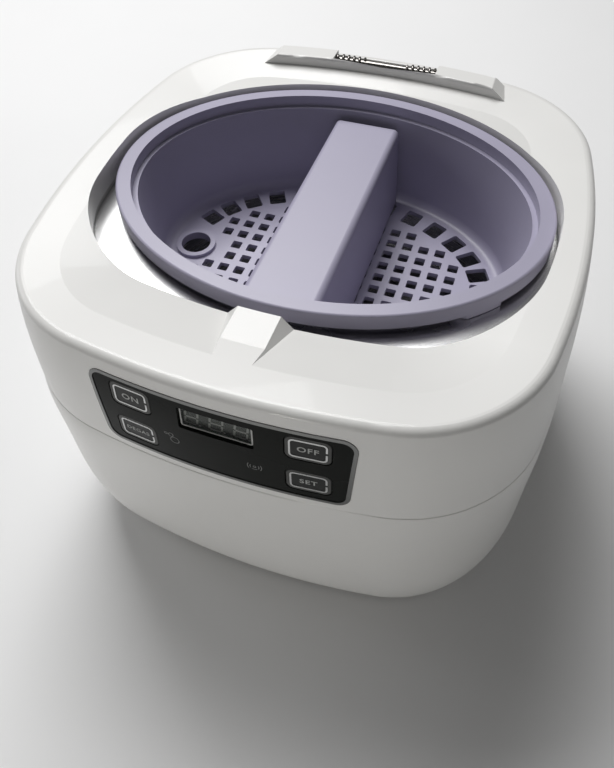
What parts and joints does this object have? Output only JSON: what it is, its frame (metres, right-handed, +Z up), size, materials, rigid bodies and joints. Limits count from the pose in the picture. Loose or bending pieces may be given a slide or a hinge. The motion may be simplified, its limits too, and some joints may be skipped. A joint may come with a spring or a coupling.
{
  "type": "ultrasonic cleaner",
  "caption": "Countertop ultrasonic cleaner: rounded square housing, oval steel tank, lift-out basket with watch stand, sloped finger scoops, front key panel, rear hinge.",
  "frame": {"origin": "middle of the footprint, on the surface that the feet stand on", "axes": "+Z up, -Y towards the control panel at the front, +X to the user's right"},
  "size_m": [0.2064, 0.2078, 0.1432],
  "materials": {
    "white_abs": "moulded, slightly warm white, semi-gloss",
    "lavender_pp": "moulded lavender plastic, satin",
    "stainless": "deep-drawn stainless",
    "silicone": "soft silicone seal",
    "foot_rubber": "moulded rubber",
    "dark_steel": "dark nickel plated",
    "plated_steel": "zinc plated",
    "panel_black": "gloss black, printed from behind",
    "panel_silver": "silver-grey border",
    "smoked_clear": "clear smoked lens",
    "key_black": "dark key with a bright outline",
    "aluminium": "turned aluminium",
    "piezo_ceramic": "silvered lead zirconate ceramic",
    "brass": "thin brass contact",
    "board_green": "glass-epoxy circuit board",
    "connector_white": "nylon connector",
    "ferrite": "ferrite core with tape",
    "capacitor_sleeve": "sleeved can",
    "component_black": "moulded epoxy",
    "fuse_glass": "glass fuse in clips",
    "display_grey": "display body with unlit segments",
    "lamp_clear": "clear lamp body",
    "lead_jacket": "insulated lead",
    "ribbon_grey": "flat ribbon"
  },
  "bodies": {
    "casing": {"back_mass_left": "plated_steel", "back_mass_right": "plated_steel", "board_screws": "plated_steel", "bus_capacitor": "capacitor_sleeve", "clamp_screws": "plated_steel", "control_board": "board_green", "control_screws": "plated_steel", "display_module": "display_grey", "display_window": "smoked_clear", "driver_board": "board_green", "electrodes_left": "brass", "electrodes_right": "brass", "filter_choke": "ferrite", "foot_back_left": "foot_rubber", "foot_back_right": "foot_rubber", "foot_front_left": "foot_rubber", "foot_front_right": "foot_rubber", "fuse": "fuse_glass", "heatsink": "aluminium", "hinge_pin": "dark_steel", "hinge_spring": "dark_steel", "housing_screws": "plated_steel", "indicator_lamps": "lamp_clear", "inlet_pins": "plated_steel", "inlet_socket": "component_black", "lower_housing": "white_abs", "mains_header": "connector_white", "mains_leads": "lead_jacket", "output_transformer": "ferrite", "panel_frame": "panel_silver", "panel_header": "connector_white", "panel_overlay": "panel_black", "panel_ribbon": "ribbon_grey", "piezo_rings_left": "piezo_ceramic", "piezo_rings_right": "piezo_ceramic", "power_transistors": "component_black", "ribbon_socket": "connector_white", "tact_switches": "component_black", "tank": "stainless", "tank_clamps": "plated_steel", "tank_gasket": "silicone", "transducer_bolt_left": "plated_steel", "transducer_bolt_right": "plated_steel", "transducer_header": "connector_white", "transducer_horn_left": "aluminium", "transducer_horn_right": "aluminium", "transducer_leads": "lead_jacket", "upper_housing": "white_abs"},
    "basket": {"basket": "lavender_pp"},
    "watch_stand": {"watch_stand": "lavender_pp"},
    "button_on": {"button_on": "key_black"},
    "button_degas": {"button_degas": "key_black"},
    "button_off": {"button_off": "key_black"},
    "button_set": {"button_set": "key_black"}
  },
  "joints": [
    {"name": "button_on_press", "type": "slide", "parent": "casing", "child": "button_on", "axis": [0, 1, 0], "range_m": [0, 0.0008], "stiffness_N_per_m": 900},
    {"name": "button_degas_press", "type": "slide", "parent": "casing", "child": "button_degas", "axis": [0, 1, 0], "range_m": [0, 0.0008], "stiffness_N_per_m": 900},
    {"name": "button_off_press", "type": "slide", "parent": "casing", "child": "button_off", "axis": [0, 1, 0], "range_m": [0, 0.0008], "stiffness_N_per_m": 900},
    {"name": "button_set_press", "type": "slide", "parent": "casing", "child": "button_set", "axis": [0, 1, 0], "range_m": [0, 0.0008], "stiffness_N_per_m": 900},
    {"name": "basket_lift", "type": "slide", "parent": "casing", "child": "basket", "axis": [0, 0, 1], "range_m": [0, 0.09]},
    {"name": "watch_stand_lift", "type": "slide", "parent": "basket", "child": "watch_stand", "axis": [0, 0, 1], "range_m": [0, 0.07]}
  ]
}
